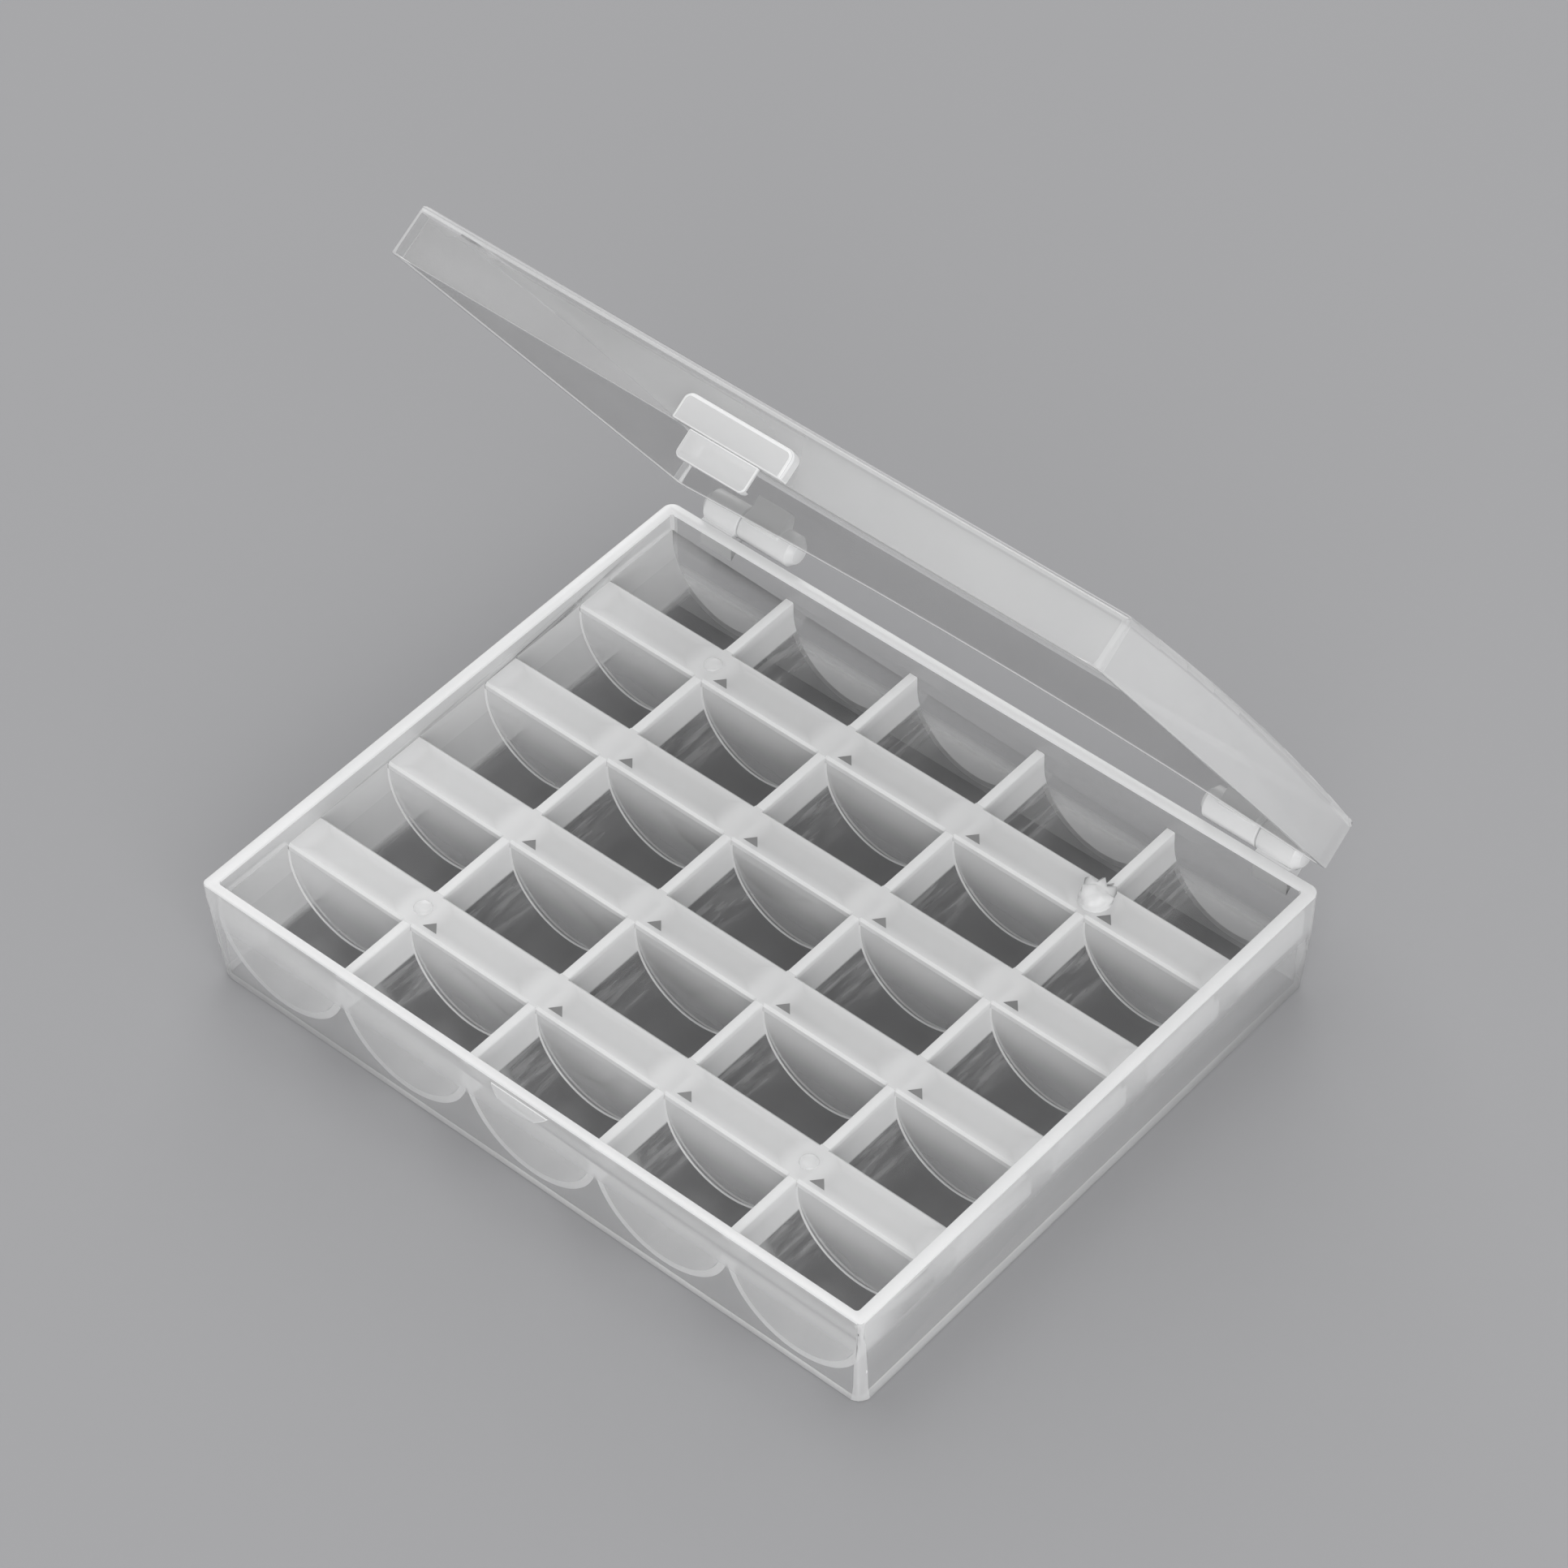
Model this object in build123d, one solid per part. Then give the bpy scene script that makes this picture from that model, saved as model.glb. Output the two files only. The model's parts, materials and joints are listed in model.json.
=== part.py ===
from build123d import *
import os
from math import asin, degrees, radians, sqrt, tan

# A bobbin storage box moulded in translucent plastic: a shallow tray with rows of round-bottomed
# cradles, and a lid that turns on two knuckles behind the tray and snaps shut at the front.
# X runs along the hinge, Y from front to back, Z up from the table.
# The origin is the middle of the tray's footprint. Lengths are in millimetres.

os.makedirs("parts", exist_ok=True)

# Overall size of the closed box, without hinges and latch
BOX_WIDTH = 120.0
BOX_DEPTH = 98.6
TRAY_HEIGHT = 19.1
WALL_DRAFT = 2.5          # degrees that each outer wall of the tray leans in towards the table
RIM_FRONT_CORNER = 0.9    # radii of the tray's upright edges at the rim
RIM_BACK_CORNER = 1.7
FOOT_CORNER = 2.4         # and at the foot, where they are rounder
FOOT_FLARE = 5.5          # degrees at which the rounder corners run out towards the rim
FOOT_MARGIN = 0.05

# Compartments
COLUMNS = 5
ROWS = 5
WEB_THICKNESS = 1.5
COLUMN_PITCH = 23.5
CRADLE_RADIUS = (COLUMN_PITCH - WEB_THICKNESS) / 2
SHEET = 1.1               # wall of a cradle
CRADLE_FLOOR_Z = 2.4
GRID_TOP_Z = 15.7         # top of the webs and bars, a little below the rim
END_WALL = 1.2            # wall that closes a cradle where a bar runs along its end
BAR_WIDTH = 6.9
BAR_SKIN = 1.2
BAR_EDGE_BEVEL = 0.4

# Inner faces of the tray's walls
INNER_HALF_WIDTH = COLUMNS * COLUMN_PITCH / 2 - WEB_THICKNESS / 2
INNER_FRONT_Y = -47.7
INNER_BACK_Y = 47.25
INNER_CORNER_RADIUS = 0.5

# Lid
RIM_GAP = 0.25
LID_WALL_HEIGHT = 7.75
LID_ARCH = 1.15           # how far the middle of the top stands above its front and back edges
LID_WALL = 1.35
LID_TOP = 1.25
LID_DRAFT = 1.5           # degrees that each wall of the lid leans in towards its top
LID_EDGE_RADIUS = 1.3
LID_CORNER_RADIUS = 1.5
LID_INNER_CORNER = 0.6
BACK_RIM_RISE = 1.2       # how far the lid's back rim curves up between its ends
BACK_RIM_SPAN = 114.0
LID_OPEN_ANGLE = 57.0     # degrees, as the box stands open at rest

# Hinges, one near each end of the back wall
AXIS_BEHIND_WALL = 3.1
AXIS_ABOVE_RIM = 0.6
KNUCKLE_RADIUS = 2.6
KNUCKLE_OUTER_X = 55.0
KNUCKLE_SPLIT_X = 47.9
KNUCKLE_INNER_X = 37.6
KNUCKLE_GAP = 0.3
KNUCKLE_BEVEL = 0.9
PIN_RADIUS = 1.1
PIN_CLEARANCE = 0.05
PIN_OUTER_X = 53.8
PIN_INNER_X = 40.2
BRACKET_X = (48.2, 54.2)
BRACKET_FOOT_Z = 14.0
ARM_X = (40.6, 46.9)
ARM_HEIGHT = 4.6

# Latch at the middle of the front
PLATE_WIDTH = 18.4
PLATE_HEIGHT = 4.1
PLATE_THICKNESS = 2.1
PLATE_CORNER = 1.3
PLATE_BEVEL = 0.35
TONGUE_WIDTH = 11.6
TONGUE_REACH = 4.1        # below the lid's rim
TONGUE_THICKNESS = 0.8
TONGUE_CORNER = 0.9
HOOK_HEIGHT = 0.7
HOOK_DEPTH = 0.85
CATCH_WIDTH = 10.4
CATCH_TOP_Z = 18.3
CATCH_BOTTOM_Z = 16.25
CATCH_REACH = 0.95

# Values that follow from the ones above
CRADLE_CENTRE_Z = CRADLE_FLOOR_Z + CRADLE_RADIUS
SHELL_RADIUS = CRADLE_RADIUS + SHEET
CUSP_Z = CRADLE_CENTRE_Z - sqrt(SHELL_RADIUS**2 - (COLUMN_PITCH / 2) ** 2)
ROW_LENGTH = (INNER_BACK_Y - INNER_FRONT_Y - (ROWS - 1) * BAR_WIDTH) / ROWS
HINGE_Y = BOX_DEPTH / 2 + AXIS_BEHIND_WALL
HINGE_Z = TRAY_HEIGHT + AXIS_ABOVE_RIM
LID_RIM_Z = TRAY_HEIGHT + RIM_GAP
LID_EDGE_Z = LID_RIM_Z + LID_WALL_HEIGHT
LID_CROWN_Z = LID_EDGE_Z + LID_ARCH
ARCH_RADIUS = ((BOX_DEPTH / 2) ** 2 + LID_ARCH**2) / (2 * LID_ARCH)
ARCH_CENTRE_Z = LID_CROWN_Z - ARCH_RADIUS
ARCH_SWING = 1.1 * degrees(asin(BOX_DEPTH / 2 / ARCH_RADIUS))    # a little past each end
FRONT_Y = -BOX_DEPTH / 2
TONGUE_FRONT_Y = FRONT_Y - PLATE_THICKNESS


def column_x(column):
    """Centre of a column of compartments, counted from 1 at the left."""
    return (column - (COLUMNS + 1) / 2) * COLUMN_PITCH


def row_front_y(row):
    """Front end of a row of compartments, counted from 1 at the front."""
    return INNER_FRONT_Y + (row - 1) * (ROW_LENGTH + BAR_WIDTH)


def block(x_range, y_range, z_range):
    """A box between pairs of limits."""
    size = [high - low for low, high in (x_range, y_range, z_range)]
    middle = [(high + low) / 2 for low, high in (x_range, y_range, z_range)]
    return Pos(*middle) * Box(*size)


def upright_profile(sketch, y_range):
    """A profile drawn in X and Z, carried along Y between two limits."""
    plane = Plane(origin=(0, y_range[1], 0), x_dir=(1, 0, 0), z_dir=(0, -1, 0))
    return extrude(plane * sketch, amount=y_range[1] - y_range[0])


def side_profile(sketch, x_range):
    """A profile drawn in Y and Z, carried along X between two limits."""
    plane = Plane(origin=(x_range[0], 0, 0), x_dir=(0, 1, 0), z_dir=(1, 0, 0))
    return extrude(plane * sketch, amount=x_range[1] - x_range[0])


def tray_block():
    """The tray's outer form: walls that lean in towards the table, and rounder corners at the foot."""
    rim = Rectangle(BOX_WIDTH, BOX_DEPTH)
    rim = fillet(rim.vertices().group_by(Axis.Y)[-1], RIM_BACK_CORNER)
    rim = fillet(rim.vertices().group_by(Axis.Y)[0], RIM_FRONT_CORNER)
    walls = extrude(Plane.XY.offset(TRAY_HEIGHT) * rim, amount=-TRAY_HEIGHT, taper=WALL_DRAFT)
    lean = TRAY_HEIGHT * tan(radians(WALL_DRAFT)) - FOOT_MARGIN
    foot = RectangleRounded(BOX_WIDTH - 2 * lean, BOX_DEPTH - 2 * lean, FOOT_CORNER)
    return walls & extrude(foot, amount=TRAY_HEIGHT, taper=-FOOT_FLARE)


def row_outside():
    """The outside of a row of compartments seen from the front: half rounds side by side."""
    width = COLUMNS * COLUMN_PITCH
    upper = Pos(0, (CRADLE_CENTRE_Z + GRID_TOP_Z) / 2) * Rectangle(width, GRID_TOP_Z - CRADLE_CENTRE_Z)
    rounds = Sketch()
    for column in range(1, COLUMNS + 1):
        rounds += Pos(column_x(column), CRADLE_CENTRE_Z) * Circle(SHELL_RADIUS)
    return upper + (rounds & (Pos(0, CRADLE_CENTRE_Z / 2) * Rectangle(width, CRADLE_CENTRE_Z)))


def row_hollows():
    """The spaces for the bobbins of a row seen from the front, round below and open at the top."""
    hollows = Sketch()
    for column in range(1, COLUMNS + 1):
        middle = Pos(column_x(column), CRADLE_CENTRE_Z)
        hollows += middle * Circle(CRADLE_RADIUS)
        hollows += middle * Pos(0, CRADLE_RADIUS) * Rectangle(2 * CRADLE_RADIUS, 2 * CRADLE_RADIUS)
    return hollows


def compartment_row(row):
    """A row of cradles side by side, walled off wherever a bar runs along their ends."""
    front = row_front_y(row)
    back = front + ROW_LENGTH
    walls = []
    if row > 1:
        walls.append((front - END_WALL, front))
    if row < ROWS:
        walls.append((back, back + END_WALL))
    reach = [front, back] + [y for wall in walls for y in wall]
    cradles = upright_profile(row_outside(), (min(reach), max(reach)))
    cradles -= upright_profile(row_hollows(), (front, back))
    for wall in walls:
        cradles -= block((-BOX_WIDTH, BOX_WIDTH), wall, (GRID_TOP_Z - BAR_SKIN, GRID_TOP_Z + 1))
    return cradles


def divider_bar(number):
    """A bar between two rows: a skin that caps their end walls, flush with each web, with a rib below."""
    back = row_front_y(number + 1)
    front = back - BAR_WIDTH
    skin_z = GRID_TOP_Z - BAR_SKIN
    bar = block((-INNER_HALF_WIDTH, INNER_HALF_WIDTH), (front, back), (skin_z, GRID_TOP_Z))
    bar = chamfer(bar.edges().filter_by(Axis.X).group_by(Axis.Z)[-1], BAR_EDGE_BEVEL)
    for crossing in range(1, COLUMNS):
        x = column_x(crossing) + COLUMN_PITCH / 2
        rib = (x - WEB_THICKNESS / 2, x + WEB_THICKNESS / 2)
        bar += block(rib, (front, back), (skin_z, GRID_TOP_Z))
        bar += block(rib, (front + END_WALL, back - END_WALL), (CUSP_Z, skin_z))
    return bar


def tray_shell(outer, rows):
    """The outer wall: a rim above the grid, and skirts down to the table, recessed for the rows' ends."""
    inner_depth = INNER_BACK_Y - INNER_FRONT_Y
    middle_y = (INNER_BACK_Y + INNER_FRONT_Y) / 2
    opening = Pos(0, middle_y) * RectangleRounded(2 * INNER_HALF_WIDTH, inner_depth, INNER_CORNER_RADIUS)
    opening = extrude(Plane.XY.offset(GRID_TOP_Z) * opening, amount=TRAY_HEIGHT)
    underside = block((-INNER_HALF_WIDTH, INNER_HALF_WIDTH), (INNER_FRONT_Y, INNER_BACK_Y), (-1, GRID_TOP_Z))
    shell = outer - opening - underside
    for row in rows:
        shell -= row
    return shell


def knuckle(flat_x, bevelled_x):
    """A short barrel on the hinge axis, flat at one end and bevelled at the other."""
    barrel = bore(*sorted((flat_x, bevelled_x)), KNUCKLE_RADIUS)
    rims = barrel.edges().filter_by(GeomType.CIRCLE).sort_by(Axis.X)
    rim = rims[-1] if bevelled_x > flat_x else rims[0]
    return chamfer(rim, KNUCKLE_BEVEL)


def bore(low_x, high_x, radius):
    """A round bar on the hinge axis, used for a barrel, a pin or a hole."""
    return Pos((low_x + high_x) / 2, HINGE_Y, HINGE_Z) * Rot(0, 90, 0) * Cylinder(radius, high_x - low_x)


def tray_bracket(outer):
    """The right-hand knuckle of the tray, on a gusset that stands out from the back wall."""
    wall_y = BOX_DEPTH / 2 - AXIS_BEHIND_WALL
    gusset = Polyline(
        (wall_y, TRAY_HEIGHT - RIM_GAP),
        (HINGE_Y, TRAY_HEIGHT - RIM_GAP),
        (HINGE_Y + KNUCKLE_RADIUS / 2, HINGE_Z - 0.8 * KNUCKLE_RADIUS),
        (BOX_DEPTH / 2 - 0.2, BRACKET_FOOT_Z),
        (wall_y, BRACKET_FOOT_Z),
        close=True,
    )
    bracket = knuckle(KNUCKLE_SPLIT_X, KNUCKLE_OUTER_X)
    bracket += side_profile(make_face(gusset), BRACKET_X)
    bracket -= outer
    return bracket - bore(KNUCKLE_SPLIT_X - 1, PIN_OUTER_X, PIN_RADIUS)


def hinge_pin():
    """The right-hand pin, held in the tray's knuckle and running in the lid's."""
    pin = bore(PIN_INNER_X, PIN_OUTER_X, PIN_RADIUS)
    tip = pin.edges().filter_by(GeomType.CIRCLE).sort_by(Axis.X)[0]
    return chamfer(tip, PIN_RADIUS / 4)


def lid_section(half_span, base_z, top_z, arched, rounding):
    """A section of the lid: walls that lean in under a straight or an arched top."""
    lean = tan(radians(LID_DRAFT))
    foot = half_span - (base_z - LID_RIM_Z) * lean
    if arched:
        shoulder = half_span - (top_z - LID_ARCH - LID_RIM_Z) * lean
        shoulder_z = ARCH_CENTRE_Z + sqrt((top_z - ARCH_CENTRE_Z) ** 2 - shoulder**2)
        top = ThreePointArc((shoulder, shoulder_z), (0, top_z), (-shoulder, shoulder_z))
    else:
        shoulder = half_span - (top_z - LID_RIM_Z) * lean
        shoulder_z = top_z
        top = Line((shoulder, top_z), (-shoulder, top_z))
    walls = Polyline((-shoulder, shoulder_z), (-foot, base_z), (foot, base_z), (shoulder, shoulder_z))
    section = make_face([top, walls])
    if rounding:
        section = fillet(section.vertices().group_by(Axis.Y)[-1], rounding)
    return section


def lid_form(inset, top_drop, corner, rounding):
    """The closed lid as a full block, or the same block inset, for the hollow inside."""
    half_width = BOX_WIDTH / 2 - inset
    half_depth = BOX_DEPTH / 2 - inset
    base_z = LID_RIM_Z - (RIM_GAP if inset else 0)
    top_z = LID_CROWN_Z - top_drop
    arch_axis = Axis((0, 0, ARCH_CENTRE_Z), (1, 0, 0))
    across = Plane.XZ * lid_section(half_width, LID_RIM_Z - LID_WALL_HEIGHT, top_z, False, rounding)
    form = revolve(across.rotate(arch_axis, -ARCH_SWING), arch_axis, 2 * ARCH_SWING)
    along = lid_section(half_depth, base_z, top_z, True, rounding)
    form &= side_profile(along, (-BOX_WIDTH / 2, BOX_WIDTH / 2))
    footprint = Plane.XY.offset(LID_RIM_Z) * RectangleRounded(2 * half_width, 2 * half_depth, corner)
    upright = extrude(footprint, amount=2 * LID_WALL_HEIGHT, taper=LID_DRAFT)
    if inset:
        upright += extrude(footprint, amount=-RIM_GAP)
    return form & upright


def lid_shell(outer):
    """The lid: a shallow tray upside down, arched from front to back, with a curved back rim."""
    low = LID_RIM_Z - RIM_GAP
    ends = (BACK_RIM_SPAN / 2, LID_RIM_Z)
    curve = ThreePointArc((-ends[0], ends[1]), (0, LID_RIM_Z + BACK_RIM_RISE), ends)
    below = Polyline(ends, (ends[0], low), (-ends[0], low), (-ends[0], ends[1]))
    relief = upright_profile(make_face([curve, below]), (0, BOX_DEPTH))
    return outer - lid_form(LID_WALL, LID_TOP, LID_INNER_CORNER, 0) - relief


def lid_knuckle(outer):
    """The right-hand knuckle of the lid, on an arm that stands out from its back wall."""
    arm = Polyline(
        (BOX_DEPTH / 2 - AXIS_BEHIND_WALL, LID_RIM_Z + RIM_GAP),
        (HINGE_Y, LID_RIM_Z + RIM_GAP),
        (HINGE_Y, HINGE_Z + KNUCKLE_RADIUS - 0.2),
        (BOX_DEPTH / 2 + 1.4, LID_RIM_Z + ARM_HEIGHT),
        (BOX_DEPTH / 2 - AXIS_BEHIND_WALL, LID_RIM_Z + ARM_HEIGHT),
        close=True,
    )
    piece = knuckle(KNUCKLE_SPLIT_X - KNUCKLE_GAP, KNUCKLE_INNER_X)
    piece += side_profile(make_face(arm), ARM_X)
    piece -= outer
    return piece - bore(PIN_INNER_X - KNUCKLE_GAP, KNUCKLE_SPLIT_X + 1, PIN_RADIUS + PIN_CLEARANCE)


def latch_plate(outer):
    """The raised plate on the lid's front wall that carries the tongue."""
    outline = Pos(0, LID_RIM_Z + PLATE_HEIGHT / 2) * Rectangle(PLATE_WIDTH, PLATE_HEIGHT)
    outline = fillet(outline.vertices().group_by(Axis.Y)[-1], PLATE_CORNER)
    plate = upright_profile(outline, (TONGUE_FRONT_Y, FRONT_Y + LID_WALL / 2))
    front_edges = plate.faces().sort_by(Axis.Y)[0].edges()
    plate = chamfer(front_edges.filter_by(lambda edge: edge.center().Z > LID_RIM_Z + RIM_GAP), PLATE_BEVEL)
    return plate - outer


def latch_tongue():
    """The springy tongue below the lid's rim, with a hook along its lower edge."""
    top = LID_RIM_Z - 0.1
    bottom = LID_RIM_Z - TONGUE_REACH
    outline = Pos(0, (top + bottom) / 2) * Rectangle(TONGUE_WIDTH, top - bottom)
    outline = fillet(outline.vertices().group_by(Axis.Y)[0], TONGUE_CORNER)
    tongue = upright_profile(outline, (TONGUE_FRONT_Y, TONGUE_FRONT_Y + TONGUE_THICKNESS + HOOK_DEPTH))
    relief_y = (TONGUE_FRONT_Y + TONGUE_THICKNESS, FRONT_Y)
    relief = block((-TONGUE_WIDTH, TONGUE_WIDTH), relief_y, (bottom + HOOK_HEIGHT, top + 1))
    return tongue - relief


def latch_catch(outer):
    """The crescent under the tray's front rim: thin on top, deepest along its lower edge."""
    chord = CATCH_WIDTH / 2
    crescent = [
        ThreePointArc((-chord, CATCH_TOP_Z), (0, CATCH_BOTTOM_Z), (chord, CATCH_TOP_Z)),
        Line((chord, CATCH_TOP_Z), (-chord, CATCH_TOP_Z)),
    ]
    body = upright_profile(make_face(crescent), (FRONT_Y - CATCH_REACH, FRONT_Y + 1))
    ramp = Polyline(
        (FRONT_Y + 1, CATCH_TOP_Z),
        (FRONT_Y - 0.15, CATCH_TOP_Z),
        (FRONT_Y - CATCH_REACH, CATCH_BOTTOM_Z + 0.8),
        (FRONT_Y - CATCH_REACH, CATCH_BOTTOM_Z - 1),
        (FRONT_Y + 1, CATCH_BOTTOM_Z - 1),
        close=True,
    )
    body &= side_profile(make_face(ramp), (-chord, chord))
    return body - outer


def write(name, shape):
    """One file for each named piece."""
    export_step(shape, f"parts/{name}.step")


def opened(shape):
    """A piece of the lid, turned from closed to the angle at which the box stands open."""
    axis = Axis((0, HINGE_Y, HINGE_Z), (-1, 0, 0))
    return shape.rotate(axis, LID_OPEN_ANGLE)


def mirrored(shape):
    """The left-hand copy of a right-hand piece."""
    return shape.mirror(Plane.YZ)


def main():
    outer = tray_block()
    rows = [compartment_row(number) for number in range(1, ROWS + 1)]
    for number, row in enumerate(rows, start=1):
        write(f"compartment_row_{number}", row)
    write("tray_shell", tray_shell(outer, rows))
    for number in range(1, ROWS):
        write(f"divider_bar_{number}", divider_bar(number))
    write("latch_catch", latch_catch(outer))
    bracket = tray_bracket(outer)
    write("right_hinge_bracket", bracket)
    write("left_hinge_bracket", mirrored(bracket))
    write("right_hinge_pin", hinge_pin())
    write("left_hinge_pin", mirrored(hinge_pin()))

    form = lid_form(0, 0, LID_CORNER_RADIUS, LID_EDGE_RADIUS)
    write("lid_shell", opened(lid_shell(form)))
    lid_lug = lid_knuckle(form)
    write("right_lid_knuckle", opened(lid_lug))
    write("left_lid_knuckle", opened(mirrored(lid_lug)))
    write("latch_plate", opened(latch_plate(form)))
    write("latch_tongue", opened(latch_tongue()))


main()
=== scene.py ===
# %% [markdown]
# # A bobbin storage box in frosted plastic
# This lesson dresses a hinged box for sewing machine bobbins. The solid frame of the box is made
# in a CAD program, and it is loaded here as named pieces that already stand in their places. Blender
# gives every piece its soft edges, its cloudy see-through plastic and its small moulding marks. Places
# and sizes are in metres.

# %% Load the frame
import json
from math import cos, radians, sin

import bpy
from mathutils import Matrix, Vector

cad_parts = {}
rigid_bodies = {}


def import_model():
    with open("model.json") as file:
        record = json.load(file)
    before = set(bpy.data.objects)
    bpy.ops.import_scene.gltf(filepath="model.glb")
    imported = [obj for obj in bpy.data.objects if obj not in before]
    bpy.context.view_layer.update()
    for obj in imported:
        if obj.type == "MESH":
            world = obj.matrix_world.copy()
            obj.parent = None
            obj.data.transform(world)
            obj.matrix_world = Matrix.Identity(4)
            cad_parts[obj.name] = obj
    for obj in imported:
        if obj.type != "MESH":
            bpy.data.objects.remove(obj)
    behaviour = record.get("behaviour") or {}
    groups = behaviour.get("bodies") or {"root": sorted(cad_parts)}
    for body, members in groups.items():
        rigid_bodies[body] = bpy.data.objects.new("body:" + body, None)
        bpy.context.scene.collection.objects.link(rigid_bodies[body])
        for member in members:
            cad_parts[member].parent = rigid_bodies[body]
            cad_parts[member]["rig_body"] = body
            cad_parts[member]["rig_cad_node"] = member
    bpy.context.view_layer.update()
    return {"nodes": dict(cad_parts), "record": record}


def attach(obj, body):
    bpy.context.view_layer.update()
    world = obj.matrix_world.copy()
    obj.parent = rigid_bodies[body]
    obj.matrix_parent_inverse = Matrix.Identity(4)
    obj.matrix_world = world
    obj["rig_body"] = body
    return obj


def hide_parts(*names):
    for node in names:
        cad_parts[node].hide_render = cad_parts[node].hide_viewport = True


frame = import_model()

NODES = frame["nodes"]
bpy.ops.object.select_all(action="DESELECT")
print("pieces in the frame:", len(NODES))

# %% [markdown]
# ## Camera
# The box is seen from the front right and from well above. The angles, the lens and the
# distance were found by fitting a camera to the rim, the foot and the grid in the photograph, so the
# camera is placed by them and not by eye. It also rolls a little about its own line of sight. The lens
# and the sensor are in millimetres.

# %% Camera
LENS = 132.9
SENSOR_WIDTH = 36
AZIMUTH, ELEVATION, ROLL = radians(41.64), radians(47.23), radians(1.27)
DISTANCE = 0.81957
AIM = Vector((-0.01253, 0.0196, 0.0150))
NEAREST, FARTHEST = 0.05, 20


def camera_matrix():
    """Turns the fitted angles into a matrix whose columns are right, up and backwards."""
    back = Vector((sin(AZIMUTH) * cos(ELEVATION), -cos(AZIMUTH) * cos(ELEVATION), sin(ELEVATION)))
    right = Vector((0, 0, 1)).cross(back).normalized()
    up = back.cross(right)
    rolled_right = cos(ROLL) * right - sin(ROLL) * up
    rolled_up = sin(ROLL) * right + cos(ROLL) * up
    turn = Matrix((rolled_right, rolled_up, back)).transposed().to_4x4()
    return Matrix.Translation(AIM + DISTANCE * back) @ turn


bpy.ops.object.camera_add()
camera = bpy.context.object
camera.matrix_world = camera_matrix()
camera.data.lens = LENS
camera.data.sensor_width = SENSOR_WIDTH
camera.data.clip_start = NEAREST
camera.data.clip_end = FARTHEST
bpy.context.scene.camera = camera
print("camera stands at", [round(value, 3) for value in camera.location])

# %% [markdown]
# ## Floor
# Frosted plastic is read from what shows through it, so the floor is one plain pale grey with no
# pattern and hardly any gloss. It lies a hair below the box, so that the two never share a plane.

# %% Floor
FLOOR_SIZE = 6
FLOOR_DROP = 0.00005
FLOOR_GREY = (0.37, 0.37, 0.38, 1)
FLOOR_ROUGHNESS, FLOOR_SPECULAR = 0.9, 0.1

bpy.ops.mesh.primitive_plane_add(size=FLOOR_SIZE, location=(0, 0, -FLOOR_DROP))
floor = bpy.context.object
floor.name = "floor"
bpy.ops.object.transform_apply(location=True)
paper = bpy.data.materials.new("pale_paper")
paper.use_nodes = True
paper_shader = paper.node_tree.nodes["Principled BSDF"]
paper_shader.inputs["Base Color"].default_value = FLOOR_GREY
paper_shader.inputs["Roughness"].default_value = FLOOR_ROUGHNESS
paper_shader.inputs["Specular IOR Level"].default_value = FLOOR_SPECULAR
floor.data.materials.append(paper)
print("floor:", FLOOR_SIZE, "m wide")

# %% [markdown]
# ## Light
# Three wide square panels light the box. The strongest stands at the camera's side, where it
# whitens the walls and the webs. A weaker one hangs overhead, and the weakest stands behind the
# box, where it puts a thin line of light on the rims. The air around is a plain white that fills the
# shadows.

# %% Light
LIGHT_AIM = Vector((0, 0.02, 0.02))
AIR_STRENGTH = 0.6
WHITE = (1, 1, 1, 1)


def soft_panel(name, place, size, power):
    """A square area lamp that looks at the box."""
    bpy.ops.object.light_add(type="AREA", location=place)
    lamp = bpy.context.object
    lamp.name = name
    lamp.rotation_euler = (Vector(place) - LIGHT_AIM).to_track_quat("Z", "Y").to_euler()
    lamp.data.size = size
    lamp.data.energy = power
    print(name, "gives", power, "W from", size, "m")


soft_panel("overhead_panel", place=(-0.25, 0.25, 1.0), size=0.9, power=3)
soft_panel("back_panel", place=(-0.7, 0.9, 0.45), size=0.6, power=2.5)
soft_panel("front_panel", place=(0.8, -0.7, 0.5), size=1.0, power=7.5)
world = bpy.data.worlds.new("studio_air")
bpy.context.scene.world = world
world.use_nodes = True
world.node_tree.nodes["Background"].inputs["Color"].default_value = WHITE
world.node_tree.nodes["Background"].inputs["Strength"].default_value = AIR_STRENGTH

# %% [markdown]
# ## Node helpers
# A material is a tree of nodes. A line of Python for each node and each link would bury the idea
# of the plastic, so these helpers add one kind of node each, join it up and hand back what it gives.

# %% Node helpers
def feed(tree, value, socket):
    """Sets a socket to a plain number, or joins it to the output of another node."""
    if isinstance(value, (int, float)):
        socket.default_value = value
    else:
        tree.links.new(value, socket)


def number(tree, operation, *values):
    """A Math node whose inputs are plain numbers or other nodes' outputs."""
    step = tree.nodes.new("ShaderNodeMath")
    step.operation = operation
    for socket, value in zip(step.inputs, values):
        feed(tree, value, socket)
    return step.outputs[0]


def ramp(tree, value, start, end, low, high):
    """A smooth step from one number to another while a value goes from start to end."""
    step = tree.nodes.new("ShaderNodeMapRange")
    step.interpolation_type = "SMOOTHSTEP"
    for name, amount in (("From Min", start), ("From Max", end), ("To Min", low), ("To Max", high)):
        feed(tree, amount, step.inputs[name])
    tree.links.new(value, step.inputs["Value"])
    return step.outputs["Result"]


def noise(tree, where, size, detail):
    """Noise between 0 and 1 with so many waves in a metre."""
    cloud = tree.nodes.new("ShaderNodeTexNoise")
    cloud.inputs["Scale"].default_value = size
    cloud.inputs["Detail"].default_value = detail
    tree.links.new(where, cloud.inputs["Vector"])
    return cloud.outputs["Fac"]


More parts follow.
